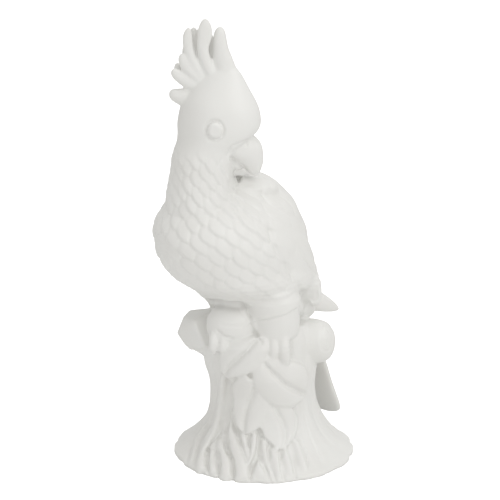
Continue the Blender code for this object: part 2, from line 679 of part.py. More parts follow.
def mend(obj):
    """Faces round an open or doubled edge, which thinning can leave, make way for a plain patch."""
    whole = bmesh.new()
    whole.from_mesh(obj.data)
    for _ in range(4):
        bad = [edge for edge in whole.edges if len(edge.link_faces) != 2]
        if not bad:
            break
        near = {face for edge in bad for vert in edge.verts for face in vert.link_faces}
        bmesh.ops.delete(whole, geom=list(near), context="FACES_ONLY")
        bmesh.ops.delete(whole, geom=[edge for edge in whole.edges if not edge.link_faces], context="EDGES")
        bmesh.ops.delete(whole, geom=[vert for vert in whole.verts if not vert.link_faces], context="VERTS")
        rim = [edge for edge in whole.edges if len(edge.link_faces) == 1]
        patch = bmesh.ops.holes_fill(whole, edges=rim, sides=0)["faces"]
        bmesh.ops.triangulate(whole, faces=patch)
    bmesh.ops.recalc_face_normals(whole, faces=whole.faces)
    whole.to_mesh(obj.data)
    whole.free()


def stand(obj):
    """Points that thinning moved off the foot's plane go back to it, and the figure stands over the origin."""
    places = np.array([vert.co for vert in obj.data.vertices])
    middle = (places.min(axis=0) + places.max(axis=0)) / 2
    for vert in obj.data.vertices:
        vert.co.x -= middle[0]
        vert.co.y -= middle[1]
        if vert.co.z < 0.25 * MM:
            vert.co.z = 0.0


def porcelain():
    white = bpy.data.materials.new("matt_porcelain")
    white.use_nodes = True
    shader = white.node_tree.nodes["Principled BSDF"]
    shader.inputs["Base Color"].default_value = (0.84, 0.835, 0.81, 1.0)
    shader.inputs["Roughness"].default_value = 0.45
    return white


def main():
    clear_scene()
    forms = stump_forms() + [level_loft(torso_stations(), 60), level_loft(head_stations(), 50)]
    forms += crest_forms() + face_forms() + leg_forms() + wing_forms() + tail_forms()
    figure = melt(joined(forms, "cockatoo"), CLAY_GRAIN, 2)
    raise_relief(figure)
    melt(figure, CLAY_GRAIN)
    cut(figure, hollow(), "cast_hollow")
    cut(figure, slab(), "foot_plane")
    thin = figure.modifiers.new("fewer_faces", "DECIMATE")
    thin.ratio = FACES_KEPT / sum(len(face.vertices) - 2 for face in figure.data.polygons)
    settle(figure)
    mend(figure)
    stand(figure)
    figure.data.materials.clear()
    figure.data.materials.append(porcelain())
    figure.data.shade_smooth()


main()
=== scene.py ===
import math

import bpy
import numpy as np
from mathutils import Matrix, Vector


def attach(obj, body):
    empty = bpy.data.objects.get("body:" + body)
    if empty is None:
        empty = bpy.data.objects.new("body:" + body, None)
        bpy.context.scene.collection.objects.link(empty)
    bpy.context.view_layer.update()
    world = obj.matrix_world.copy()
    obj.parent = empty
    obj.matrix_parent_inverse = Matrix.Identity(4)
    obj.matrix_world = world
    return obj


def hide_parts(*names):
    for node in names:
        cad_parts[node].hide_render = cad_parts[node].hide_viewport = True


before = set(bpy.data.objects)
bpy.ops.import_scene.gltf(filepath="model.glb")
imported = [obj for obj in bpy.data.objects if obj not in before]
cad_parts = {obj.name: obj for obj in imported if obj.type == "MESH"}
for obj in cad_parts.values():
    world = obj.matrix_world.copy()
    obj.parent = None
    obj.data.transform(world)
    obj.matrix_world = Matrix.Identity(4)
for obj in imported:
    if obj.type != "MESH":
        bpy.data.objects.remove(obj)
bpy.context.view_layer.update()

# The photographer's table: a pale sweep lit by soft boxes, strongest from the upper right.
# The camera stands about a metre away and looks down on the figurine by nineteen degrees.
view = bpy.data.cameras.new("camera")
view.lens, view.sensor_width = 118.8, 36.0
camera = bpy.data.objects.new("camera", view)
camera.location = (-0.003625, -1.037115, 0.50053)
camera.rotation_euler = (math.radians(71), 0, 0)
bpy.context.scene.collection.objects.link(camera)
bpy.context.scene.camera = camera
bpy.context.scene.view_settings.view_transform = "Standard"

for name, place, size, watts in (
    ("key softbox", (1.0, -0.85, 1.15), 1.0, 6.2),
    ("top softbox", (0.1, 0.2, 1.5), 1.0, 3.8),
    ("fill softbox", (-0.4, -1.3, 0.55), 0.9, 1.9),
):
    lamp = bpy.data.lights.new(name, "AREA")
    lamp.size, lamp.energy = size, watts
    box = bpy.data.objects.new(name, lamp)
    box.location = place
    box.rotation_euler = (Vector((0, 0, 0.15)) - Vector(place)).to_track_quat("-Z", "Y").to_euler()
    bpy.context.scene.collection.objects.link(box)

# The room lights the figurine, while the camera, reflections and clear things see a plain pale wall
sky = bpy.data.worlds.new("studio")
bpy.context.scene.world = sky
sky.use_nodes = True
nodes, links = sky.node_tree.nodes, sky.node_tree.links
room = nodes["Background"]
room.inputs["Color"].default_value = (1.0, 0.99, 0.965, 1)
room.inputs["Strength"].default_value = 0.58
wall = nodes.new("ShaderNodeBackground")
rays = nodes.new("ShaderNodeLightPath")
seen = nodes.new("ShaderNodeMath")
clear = nodes.new("ShaderNodeMath")
seen.operation = clear.operation = "MAXIMUM"
mix = nodes.new("ShaderNodeMixShader")
links.new(rays.outputs["Is Camera Ray"], seen.inputs[0])
links.new(rays.outputs["Is Glossy Ray"], seen.inputs[1])
links.new(seen.outputs[0], clear.inputs[0])
links.new(rays.outputs["Is Transmission Ray"], clear.inputs[1])
links.new(clear.outputs[0], mix.inputs[0])
links.new(room.outputs[0], mix.inputs[1])
links.new(wall.outputs[0], mix.inputs[2])
links.new(mix.outputs[0], nodes["World Output"].inputs[0])

# The table is one sheet of white paper, which glows a little for the camera so that it burns out to white
bpy.ops.object.select_all(action="DESELECT")
bpy.ops.mesh.primitive_plane_add(size=6, location=(0, 0, 0))
table = bpy.context.object
table.name = "table"
paper = bpy.data.materials.new("white sweep")
paper.use_nodes = True
nodes, links = paper.node_tree.nodes, paper.node_tree.links
nodes["Principled BSDF"].inputs["Base Color"].default_value = (0.9, 0.9, 0.9, 1)
nodes["Principled BSDF"].inputs["Roughness"].default_value = 0.9
glow = nodes.new("ShaderNodeEmission")
glow.inputs["Strength"].default_value = 0.78
both = nodes.new("ShaderNodeAddShader")
rays = nodes.new("ShaderNodeLightPath")
mix = nodes.new("ShaderNodeMixShader")
links.new(nodes["Principled BSDF"].outputs[0], both.inputs[0])
links.new(glow.outputs[0], both.inputs[1])
links.new(rays.outputs["Is Camera Ray"], mix.inputs[0])
links.new(nodes["Principled BSDF"].outputs[0], mix.inputs[1])
links.new(both.outputs[0], mix.inputs[2])
links.new(mix.outputs[0], nodes["Material Output"].inputs[0])
table.data.materials.append(paper)

# The tree stump: the modeller's clay trunk, drawn up outline by outline from the wide foot through the
# waist to the perch. Sizes from here on are in millimetres, and the finished cast becomes metres.
STUMP_HEIGHT = 95.0
clay = []


def smooth(points, count):
    """Points on a Catmull-Rom curve through the given ones; columns may be places or girths."""
    given = np.asarray(points, float)
    padded = np.vstack([2 * given[0] - given[1], given, 2 * given[-1] - given[-2]])
    places = np.linspace(0, len(given) - 1, count)
    span = np.minimum(places.astype(int), len(given) - 2)
    t = (places - span)[:, None]
    a, b, c, d = (padded[span + k] for k in range(4))
    return 0.5 * (2 * b + (c - a) * t + (2 * a - 5 * b + 4 * c - d) * t**2 + (3 * b - a - 3 * c + d) * t**3)


def soft_step(value, low, high):
    t = np.clip((value - low) / (high - low), 0, 1)
    return t * t * (3 - 2 * t)


def points_of(piece, what="co"):
    numbers = np.empty(len(piece.data.vertices) * 3)
    piece.data.vertices.foreach_get(what, numbers)
    return numbers.reshape(-1, 3)


def set_points(piece, points):
    piece.data.vertices.foreach_set("co", np.ascontiguousarray(points, float).ravel())
    piece.data.update()


def draw_up(name, stations, count, sides=64):
    """Clay drawn up from its lowest outline: height, x, y, half length, half width and where its length faces."""
    rows = smooth(stations, count)
    z, x, y, length, width, facing = rows[0]
    bpy.ops.object.select_all(action="DESELECT")
    bpy.ops.mesh.primitive_circle_add(vertices=sides, radius=1, fill_type="NGON", location=(x, y, z))
    piece = bpy.context.object
    piece.name = name
    bpy.ops.object.transform_apply(location=True, rotation=True, scale=True)
    bpy.ops.object.mode_set(mode="EDIT")
    bpy.ops.mesh.select_all(action="SELECT")
    bpy.ops.transform.resize(value=(length, width, 1), center_override=(x, y, z))
    bpy.ops.transform.rotate(value=-math.radians(facing), orient_axis="Z", center_override=(x, y, z))
    for row in rows[1:]:
        nz, nx, ny, longer, wider, turned = row
        bpy.ops.mesh.extrude_region_move(TRANSFORM_OT_translate={"value": (nx - x, ny - y, nz - z)})
        middle = (nx, ny, nz)
        bpy.ops.transform.rotate(value=math.radians(facing), orient_axis="Z", center_override=middle)
        bpy.ops.transform.resize(value=(longer / length, wider / width, 1), center_override=middle)
        bpy.ops.transform.rotate(value=-math.radians(turned), orient_axis="Z", center_override=middle)
        z, x, y, length, width, facing = nz, nx, ny, longer, wider, turned
    bpy.ops.mesh.select_all(action="SELECT")
    bpy.ops.mesh.normals_make_consistent(inside=False)
    bpy.ops.object.mode_set(mode="OBJECT")
    clay.append(piece)
    return piece


trunk_rows = [
    (z, x, -8.0 * share, 35.5 + 26.5 * share, (35.5 + 26.5 * share) * (0.92 - 0.06 * share), 0)
    for z, share, x in [
        (-6, 0.95, 7.6), (0, 0.96, 7.6), (2.4, 0.975, 7.4), (5, 0.80, 7.2), (9.4, 0.57, 7.2), (13.9, 0.405, 7.6),
        (18.5, 0.265, 7.8), (23, 0.165, 7.8), (28, 0.09, 7.4), (34, 0.03, 7), (43, 0, 6.6), (50, 0.01, 6.5),
        (57, 0.05, 6), (64, 0.10, 5.2),
    ]
] + [(75, 3.8, 0, 38.5, 35.4, 0), (87, 2.8, 0, 38, 35, 0), (94, 2.8, 0, 34, 31.5, 0)]
trunk = draw_up("trunk", trunk_rows, 64, sides=256)

# The bark's upright flutes are pressed into the trunk with the finger, wandering a little with height
spots = points_of(trunk)
turn = np.arctan2(spots[:, 1], spots[:, 0] - 7)
wander = 0.35 * np.sin(spots[:, 2] * 0.055) + 0.1 * np.sin(spots[:, 2] * 0.13)
coarse = np.abs(np.sin(8 * turn + 2.5 * wander + 0.6 * np.sin(3 * turn)))
fine = np.abs(np.sin(19 * turn - 2 * wander))
flutes = 1.5 * coarse**0.7 + 0.55 * fine**0.8 - 1.3
reach = np.hypot(spots[:, 0] - 7, spots[:, 1])
spots[:, :2] += (spots[:, :2] - (7, 0)) * (flutes / np.maximum(reach, 1))[:, None]
set_points(trunk, spots)


def on_bark(x, z, lift):
    """Places on the front of the trunk, seen at x and height z, standing out by lift."""
    rows = np.array(trunk_rows)
    cx, cy, rx, ry = (np.interp(z, rows[:, 0], rows[:, k]) for k in (1, 2, 3, 4))
    share = np.clip((np.asarray(x, float) - cx) / rx, -0.97, 0.97)
    flat = np.sqrt(1 - share**2)
    normal = np.stack([share / rx, -flat / ry, 0 * share], axis=-1)
    normal /= np.linalg.norm(normal, axis=-1)[..., None]
    return np.stack([x + 0 * share, cy - ry * flat, z + 0 * share], axis=-1) + normal * np.asarray(lift)[..., None]


# Broken branches: two short stubs carry the perch to the sides. The left one was snapped off in flat
# facets, the right one is a round log whose sawn end shows its growth rings.
def draw_out(name, path, widths, depths, side, blunt=4.0, segments=24, rings=32):
    """A ball of clay drawn out along a path: widths lie along side, depths across it; blunt squares the ends."""
    bpy.ops.object.select_all(action="DESELECT")
    bpy.ops.mesh.primitive_uv_sphere_add(segments=segments, ring_count=rings, radius=1)
    piece = bpy.context.object
    piece.name = name
    ball = points_of(piece)
    share = np.arcsin(np.clip(ball[:, 2], -1, 1)) / (math.pi / 2)
    share = np.sign(share) * (1 - (1 - np.abs(share)) ** 1.6)
    close = np.sqrt(np.clip(1 - np.abs(share) ** blunt, 0, 1))
    rim = ball[:, :2] / np.maximum(np.linalg.norm(ball[:, :2], axis=1), 1e-6)[:, None]
    steps = 80
    line, girth = smooth(path, steps), smooth(np.column_stack([widths, depths]), steps)
    travel = np.gradient(line, axis=0)
    travel /= np.linalg.norm(travel, axis=1)[:, None]
    across = np.asarray(side, float) - travel * (travel @ np.asarray(side, float))[:, None]
    across /= np.linalg.norm(across, axis=1)[:, None]
    out = np.cross(travel, across)
    table_of = np.hstack([line, girth, across, out])
    place = (share + 1) / 2 * (steps - 1)
    here = np.stack([np.interp(place, np.arange(steps), table_of[:, k]) for k in range(11)], axis=1)
    spot = here[:, :3] + here[:, 5:8] * (rim[:, 0] * here[:, 3] * close)[:, None]
    set_points(piece, spot + here[:, 8:] * (rim[:, 1] * here[:, 4] * close)[:, None])
    clay.append(piece)
    return piece


def above(points):
    return [(x, y, STUMP_HEIGHT + z) for x, y, z in points]


draw_out("left_stub", above([(-2, 0, -17), (-22, -2, -15), (-36, -4, -11.5), (-47, -5, -9)]),
         [17, 16, 12, 9], [16, 15, 11, 8], (0, 0, 1), 6)
draw_out("right_stub", above([(12, 0, -19), (28, -3, -17.5), (42, -5, -16), (55, -9, -15.3)]),
         [16.5, 17, 15.6, 13.4], [15.4, 15.4, 14, 11.5], (0, 0, 1), 6)

bpy.ops.object.select_all(action="DESELECT")
bpy.ops.mesh.primitive_cube_add(size=2)
facets = bpy.context.object
facets.name = "snapped_end"
corners = np.array([
    (-40, -20, 99), (-25, -10, 103), (-32, -26, 82), (-43, 6, 98), (-24, 10, 98), (-47, -6, 97.5),
    (-51.5, -5, 85), (-50, 6, 83), (-43, -13, 75), (-30, 6, 75), (-24, -20, 84), (-48, -7, 80),
])
bpy.ops.object.mode_set(mode="EDIT")
bpy.ops.mesh.select_all(action="SELECT")
bpy.ops.mesh.delete(type="VERT")
bpy.ops.object.mode_set(mode="OBJECT")
facets.data.vertices.add(len(corners))
set_points(facets, corners)
bpy.ops.object.mode_set(mode="EDIT")
bpy.ops.mesh.select_all(action="SELECT")
bpy.ops.mesh.convex_hull()
bpy.ops.mesh.bevel(offset=1.6, segments=3, affect="EDGES")
bpy.ops.object.mode_set(mode="OBJECT")
clay.append(facets)


# Four leaves of a creeper lie on the front of the bark: pads of clay, pinched to a point and folded
# along the midrib, laid one over the other from the perch down.
LEAF_ROOT = 4.0  # how deep a leaf's underside sits in the bark


def leaf(name, rib, left, right, lift, fold):
    """A leaf between its left and right edges, all given as places (x, z) on the bark."""
    bpy.ops.object.select_all(action="DESELECT")
    bpy.ops.mesh.primitive_grid_add(x_subdivisions=32, y_subdivisions=36, size=2)
    piece = bpy.context.object
    piece.name = name
    bpy.ops.object.mode_set(mode="EDIT")
    bpy.ops.mesh.select_all(action="SELECT")
    bpy.ops.mesh.extrude_region_move(TRANSFORM_OT_translate={"value": (0, 0, -1)})
    bpy.ops.object.mode_set(mode="OBJECT")
    flat = points_of(piece)
    u, run, under = flat[:, 0], (1 - flat[:, 1]) / 2, flat[:, 2] < -0.5
    lines = [smooth(line, 60) for line in (left, rib, right)]
    at = [np.stack([np.interp(run * 59, np.arange(60), line[:, k]) for k in (0, 1)], axis=1) for line in lines]
    edge = np.where((u < 0)[:, None], at[0], at[2])
    spot = at[1] + (edge - at[1]) * np.abs(u)[:, None]
    wide = np.linalg.norm(edge - at[1], axis=1)
    pad = np.sqrt(1 - np.abs(u) ** 3)
    crease = np.exp(-((np.abs(u) * wide / 1.1) ** 1.5)) + 0.35 * np.exp(-((np.abs(u) * wide / 3.2) ** 2))
    rise = lift * (0.5 + 0.5 * pad) - fold * crease * soft_step(run, 0, 0.1)
    set_points(piece, on_bark(spot[:, 0], spot[:, 1], np.where(under, -LEAF_ROOT, rise)))
    bpy.ops.object.mode_set(mode="EDIT")
    bpy.ops.mesh.select_all(action="SELECT")
    bpy.ops.mesh.normals_make_consistent(inside=False)
    bpy.ops.object.mode_set(mode="OBJECT")
    clay.append(piece)


leaf("top_leaf",
     [(4.1, 95), (1.3, 91.8), (-3.2, 86.1), (-9.7, 78.1), (-13.7, 72.7), (-17, 63.6)],
     [(4.1, 95), (-6.4, 93.5), (-15.3, 90.4), (-20, 82.4), (-19.4, 72.3), (-17, 63.6)],
     [(4.1, 95), (9.1, 92.5), (9.2, 84.3), (1.7, 72.3), (-8, 66.8), (-17, 63.6)], 7.2, 3.0)
leaf("right_leaf",
     [(6, 80), (10.7, 72.5), (15.7, 66.4), (21.5, 59.4), (27.4, 53.7), (33.4, 47.5)],
     [(6, 80), (-0.1, 70.7), (2.5, 56.8), (11.8, 46.2), (24.1, 41.8), (33.4, 47.5)],
     [(6, 80), (10.5, 83), (21, 77), (31.2, 71.1), (34, 61.6), (33.4, 47.5)], 6.2, 3.0)
leaf("long_leaf",
     [(0.2, 64.5), (0.9, 55.7), (-2.1, 46.2), (-4.2, 37.4), (-5.2, 31), (-5.3, 24.3)],
     [(0.2, 64.5), (-6.4, 68.5), (-13.2, 57.6), (-13.6, 43), (-11.6, 31.6), (-5.3, 24.3)],
     [(0.2, 64.5), (6, 53.2), (11.4, 45.6), (8, 36), (3, 28.2), (-5.3, 24.3)], 4.6, 2.4)
leaf("low_leaf",
     [(12.6, 46), (16.3, 38.5), (19.3, 31.9), (20.9, 26), (20.9, 21.4), (19.4, 15.6)],
     [(12.6, 46), (8.5, 39.1), (4.8, 30.2), (7.4, 23.8), (12.6, 19.2), (19.4, 15.6)],
     [(12.6, 46), (21.7, 44), (27.9, 37.2), (29.3, 29.1), (26.3, 21), (19.4, 15.6)], 4.0, 2.2)


# Roots run down the bark between the leaves and spread over the foot: rolls of clay pressed on and
# smoothed in, one of them sawn off short, with an overgrown knot at the left. Each root gives its
# places (x, z) on the bark, its radii and how far it stands out; its end sinks into the foot.
def root(name, places, radii, lift):
    line = [on_bark(x, z, lift - 0.75 * r * soft_step(-z, -13, 0)) for (x, z), r in zip(places, radii)]
    draw_out(name, line, radii, np.array(radii) * 0.85, (1, 0, 0), 7, 20, 28)


for name, places, radii, lift in [
    ("vine",
     [(-19, 66), (-19.4, 61.9), (-20.1, 47.4), (-21.4, 35.8), (-23.8, 25.3), (-29.5, 15.2), (-34.2, 8), (-36, 2),
      (-37, -4)],
     [1.8, 2.4, 2.8, 3.0, 3.4, 3.6, 3.8, 4.2, 4.4], 0.8),
    ("knot_right", [(-22.4, 18.5), (-19.6, 13.6), (-18.4, 7.2), (-18.4, 0), (-18.4, -4)],
     [2.6, 4.2, 4.8, 5.0, 5.0], 1.2),
    ("knot_left", [(-21.8, 18.4), (-26, 13), (-27.4, 8.7), (-27, 4.5), (-26, -4)],
     [2.4, 2.8, 2.8, 3.0, 3.2], 1.2),
    ("root_1", [(-15, 37.1), (-14.9, 27), (-13.3, 20.2), (-10.6, 13.6), (-8.4, 7.4), (-8, 0), (-8, -4)],
     [1.0, 1.8, 3.0, 4.6, 5.6, 6.0, 6.0], 0.8),
    ("root_2", [(-7.3, 24.6), (-5, 18.2), (-4, 11.4)], [1.6, 2.2, 2.2], 0.6),
    ("root_3", [(1.3, 26.1), (0.6, 19.2), (-1.6, 12.9), (-5, 6.8)], [2.2, 2.4, 2.6, 2.6], 0.8),
    ("toe", [(3.2, 12.6), (3.9, 7.1), (4.4, -4)], [1.2, 4.4, 7.4], 0.5),
    ("root_4", [(7, 22.5), (8.2, 14), (11.6, 6), (15, -3)], [2.0, 2.4, 2.8, 3.2], 0.4),
    ("sawn_root", [(14, 18), (14.6, 12), (16.6, 6), (18.4, -3)], [3.6, 3.7, 3.7, 3.7], 0.9),
    ("root_5", [(20.6, 18), (22.2, 12), (23.8, 6), (25.4, -3)], [2.4, 3.2, 3.4, 3.6], 0.4),
    ("root_6", [(27, 21), (31, 12.5), (34, 5), (36, -3)], [2.2, 3.2, 3.6, 3.8], -0.2),
    ("left_root", [(-32, 21), (-38, 12), (-43, 4), (-45, -3)], [1.8, 2.4, 2.8, 3.0], -0.6),
]:
    root(name, places, radii, lift)

# The bird's body, a full breast over a cut-away belly, facing away to the left of the viewer.
# Places on the bird are forward, left and up from the middle of its perch.
HEADING = math.radians(224)
FORWARD = np.array([math.cos(HEADING), math.sin(HEADING), 0])
LEFT = np.array([-math.sin(HEADING), math.cos(HEADING), 0])
UP = np.array([0, 0, 1.0])


def bird(forward, left, up):
    return np.array([-14, -2, STUMP_HEIGHT]) + FORWARD * forward + LEFT * left + UP * up


torso_rows = []
for share, shift, aside, length, width in [
    (-0.02, -10, 0, 0.40, 0.42), (0.08, -16, 0, 0.53, 0.64), (0.17, -15, 2, 0.67, 0.80), (0.25, -13, 3.5, 0.78, 0.95),
    (0.34, -7, 3, 0.88, 1.01), (0.42, -3, 1, 0.94, 1.00), (0.50, -1, 0, 0.98, 1.02), (0.59, 1, 0, 0.99, 1.01),
    (0.68, 3, -1, 0.96, 0.97), (0.78, 3, -1, 0.87, 0.87), (0.86, 2, -2, 0.73, 0.73), (0.92, 0, -1, 0.57, 0.56),
    (0.965, -2, 0, 0.39, 0.38), (0.985, -3, 0, 0.22, 0.22),
]:
    x, y, z = bird(shift, aside, 101 * share)
    torso_rows.append((z, x, y, 54 * length, 43 * width, 224))
draw_up("torso", torso_rows, 60)
draw_up("thigh_down", [
    (118.6, 11, -18, 11, 12, 0), (119.8, 11.5, -20.5, 15.4, 16.4, 0), (123, 11, -20.6, 16.6, 17.4, 0),
    (128, 8, -18, 16, 17, 0), (134, 3, -14, 12, 14, 0),
], 20, 48)

# Neck and head: the bird looks back over its left shoulder, so its outlines turn from the breast's
# heading to the beak's as they go up. The forehead bulges over the beak.
head_rows = [
    (234 + up, -34 + x, -17 + y, 27.25 * length, 21.5 * width, facing)
    for up, x, y, length, width, facing in [
        (-78, 0, 0.5, 0.88, 1.00, 244), (-62, 0.5, 0, 0.90, 1.04, 264), (-50, 0.5, 0, 0.85, 1.02, 294),
        (-40, 0.9, 0, 0.76, 0.97, 327), (-32, 1.6, 0.5, 0.72, 0.95, 342), (-24, 2.2, 0.5, 0.712, 0.95, 352),
        (-17, 3.9, 1.0, 0.744, 0.96, 352), (-11, 7.8, 1.4, 0.838, 0.98, 352), (-6, 10.8, 1.6, 0.935, 0.99, 352),
        (0, 12.2, 2, 0.99, 1.00, 352), (8, 12.6, 2, 0.95, 0.93, 352), (15, 12.4, 2, 0.86, 0.82, 352),
        (21, 12.6, 2, 0.73, 0.66, 352), (27, 13.6, 2, 0.58, 0.48, 352), (32, 14.4, 2, 0.45, 0.33, 352),
        (36, 15, 2, 0.31, 0.21, 352), (41, 14.6, 2, 0.16, 0.11, 352), (44, 14, 2, 0.06, 0.05, 352),
    ]
]
draw_up("neck_and_head", head_rows, 56)

# The mantle: a roll of feathers on the shoulder fills the corner under the throat and the beak
draw_out("mantle", [(-16, -8, 187), (-9, -11, 189), (-1, -10, 189), (7, -4, 186.6), (13, 3, 183)],
         [6, 7.6, 7.4, 6.4, 5], [7, 9, 10, 9, 7], (0, 0, 1))


def head(x, y, z):
    """A place near the head, from the middle of the skull: x to the beak, y to the far side."""
    return np.array([-22.3 + x, -15 + y, 234 + z])


# The hooked beak is one thick horn over a short lower one; the round eyes are flat buttons.
EYE_LENGTH, EYE_DEPTH, EYE_HEIGHT = 5.3, 2.6, 5.8
draw_out("upper_beak",
         [head(3, 0, -17), head(11, 0, -16), head(17.4, 0, -18), head(21.2, 0, -24.6), head(23, 0, -30.8),
          head(24.2, 0, -36)],
         [11, 11.6, 10.8, 8.2, 5.2, 2.4], [6.4, 8.6, 10.8, 8.4, 5.4, 2.2], (0, 1, 0), 7, 32, 40)
draw_out("lower_beak", [head(4, 0, -22), head(10.4, 0, -26.4), head(15.4, 0, -30.6)],
         [7.6, 6.6, 4.2], [5.4, 4.8, 3.2], (0, 1, 0))
for near in (-1, 1):
    bpy.ops.object.select_all(action="DESELECT")
    bpy.ops.mesh.primitive_uv_sphere_add(segments=32, ring_count=16, radius=1, location=head(-1.8, near * 20.3, 0.2))
    eye = bpy.context.object
    eye.name = "near_eye" if near < 0 else "far_eye"
    eye.scale = (EYE_LENGTH, EYE_DEPTH, EYE_HEIGHT)
    bpy.ops.object.transform_apply(location=True, rotation=True, scale=True)
    clay.append(eye)

# The crest: long blades that fan up and back from the crown in a near and a far row.
# Each blade runs from its root to its tip (x, z) at a distance y from the middle of the head.
for number, (y, places, widths, thick) in enumerate([
    (-3.5, [(0, 22), (-2.5, 29.2), (-7, 39.1), (-9.3, 48.5), (-7.9, 58.7), (-7.6, 68.2)],
     [4.6, 4.0, 3.6, 3.8, 5.0, 3.6], 2.6),
    (-0.5, [(7, 18), (6.4, 27), (3.8, 38.4), (1.8, 47.8), (1.4, 57.2), (2.2, 62.2)],
     [8.6, 7.8, 6.6, 5.2, 4.0, 2.8], 4.4),
    (4.5, [(0, 26), (-3.2, 40), (-5, 50.6), (-4.9, 57)],
     [3.0, 3.0, 3.0, 2.4], 2.2),
    (-2.5, [(-5, 24), (-8.8, 29.6), (-13.8, 36.5), (-17.5, 45.1), (-19, 54.4), (-18, 62.4)],
     [4.0, 3.4, 3.2, 3.2, 3.4, 2.6], 2.4),
    (2.5, [(-3, 22), (-6.4, 27.6), (-11.4, 37.5), (-14.6, 46.1), (-15.8, 54.7), (-14.6, 61.6)],
     [4.2, 3.8, 3.6, 3.4, 3.4, 2.6], 2.4),
    (-2.5, [(-8, 22), (-12.2, 28.6), (-18.5, 35.4), (-21.5, 40.2), (-22.6, 45.7)],
     [4.2, 4.0, 3.8, 3.6, 2.6], 2.6),
    (-2.0, [(-8, 20), (-13.9, 24.2), (-20.7, 27.7), (-26.1, 31.8), (-28.4, 35.6)],
     [4.6, 4.6, 4.2, 3.6, 2.6], 2.8),
    (-1.0, [(-6, 13), (-14, 15.2), (-21, 16.4), (-27, 18.3), (-30.6, 21)],
     [8.0, 7.6, 6.2, 4.6, 2.8], 4.2),
    (1.5, [(-2, 18), (-8, 28), (-13, 38), (-15, 48)],
     [9, 9.5, 7.5, 4.0], 2.6),
    (6.5, [(-2, 20), (-6, 30), (-11, 42), (-12.6, 52), (-11.6, 60)],
     [3.6, 3.2, 3.0, 3.2, 2.4], 2.3),
    (5.5, [(-7, 20), (-12.5, 28.6), (-17.5, 36), (-20, 43), (-20.4, 50)],
     [3.4, 3.0, 3.0, 3.0, 2.3], 2.4),
    (5.0, [(-8, 18), (-14.5, 23), (-21, 27.5), (-25, 33), (-26, 38)],
     [3.4, 3.4, 3.2, 3.0, 2.3], 2.4),
]):
    line = [head(x, y * min(1, 0.4 + 0.8 * k / len(places)), z) for k, (x, z) in enumerate(places)]
    taper = np.linspace(1.5, 0.6, len(places))
    draw_out(f"crest_{number}", line, widths, thick * taper, (1, 0, 0.5), 7)

# Legs: the left leg stands on the perch in two feathered cuffs, one in the other, whose lip is cut
# later; the right leg is drawn up in a ball of down. The toes grip over the bark's edge.
draw_up("cuffs", [
    (86.6, 13.6, -21, 9.5, 9, 0), (90, 14, -22, 13.6, 12.8, 0), (93, 14.3, -22.4, 15.8, 14.6, 0),
    (102, 14.4, -22.6, 16.6, 15.2, 0), (112, 13.4, -22.3, 16.8, 15.4, 0), (119, 12.6, -21.5, 17, 15.6, 0),
    (122, 12, -20.5, 16, 14.6, 0),
], 34, 56)
draw_up("right_leg", [
    (86, -15, -22, 10, 8, 0), (90, -14.4, -23.4, 14.4, 11.4, 0), (95, -13.8, -24, 16.6, 13.2, 0),
    (100, -14, -24, 16.8, 13.4, 0), (104, -14.2, -23.8, 15.8, 12.8, 0), (108, -14.2, -23.4, 13, 11, 0),
    (111, -14.4, -23, 9.6, 8.4, 0), (112.6, -14.6, -22.5, 5.4, 5, 0),
], 30, 56)
draw_out("between_legs", [(-6, -22, 116), (-3.4, -24.6, 108), (0.6, -25.4, 100), (2, -25, 94)],
         [6, 7, 7, 6], [7, 8.6, 8.6, 7], (1, 0, 0))
for name, line, radii in [
    ("inner_toe", [(13.2, -33, 95), (13.4, -37.6, 86), (13.0, -37, 76)], [2.7, 3.0, 1.6]),
    ("between_toes", [(17, -31, 92), (17, -33.4, 84), (17.2, -35, 75)], [3.6, 3.6, 3.2]),
    ("outer_toe", [(20.2, -30, 97), (20.4, -36.8, 86), (22.0, -35.2, 74)], [3.8, 4.0, 3.2]),
    ("right_toe_1", [(-26, -30, 98), (-26.2, -34.4, 90), (-25.8, -31.8, 80.6)], [2.6, 2.9, 2.4]),
    ("right_toe_2", [(-20, -30, 94), (-19.9, -35, 89), (-21, -34.2, 83)], [2.6, 3.2, 2.4]),
]:
    draw_out(name, line, radii, radii, (1, 0, 0), 5, 24, 28)

# Folded wings: broad shells on the flanks, whose tips cross over the long square tail.
lean = FORWARD * 0.8 - UP * 0.6
draw_out("near_wing",
         [bird(*p) for p in [(5, 18, 72), (-4, 29, 62), (-15, 32, 47), (-27, 31, 29), (-37, 29.5, 11), (-46, 28, -4)]],
         [9, 18, 21, 19, 14, 7], [5, 9, 11, 10, 7, 3], lean, 5, 48, 56)
draw_out("far_wing",
         [bird(*p) for p in [(5, -19, 75), (-4, -29, 64), (-18, -29, 48), (-34, -22, 27), (-54, -4, 8), (-70, 8, -3),
                             (-87, 18, -12.4)]],
         [9, 18, 21, 21, 13, 9, 6], [5, 9, 11, 11, 7, 4, 2.6], lean, 5, 48, 56)
draw_out("wing_end", [(38, 2, 128), (40.4, 1, 116), (41, 0, 104)], [4, 4.2, 3.6], [6, 6, 5], (1, 0, 0))
draw_out("tail", [bird(*p) for p in [(-20, -8, 26), (-46, 1, -2), (-63, 6, -34), (-73, 9, -64), (-82.5, 12.5, -90)]],
         [15.3, 16.2, 17, 17, 16], [8.5, 4.3, 4.3, 4.3, 4.3], LEFT, 22, 32, 48)


# The clay forms run into one skin, as under the modeller's thumb, and the fine work is cut into it:
# feathers, the rings round the eyes, the nostrils, bands and growth rings.
FIRST_GRAIN, LAST_GRAIN, HOLLOW_GRAIN = 0.7, 0.62, 4.0


def apply_all(piece):
    for modifier in list(piece.modifiers):
        bpy.ops.object.modifier_apply(modifier=modifier.name)


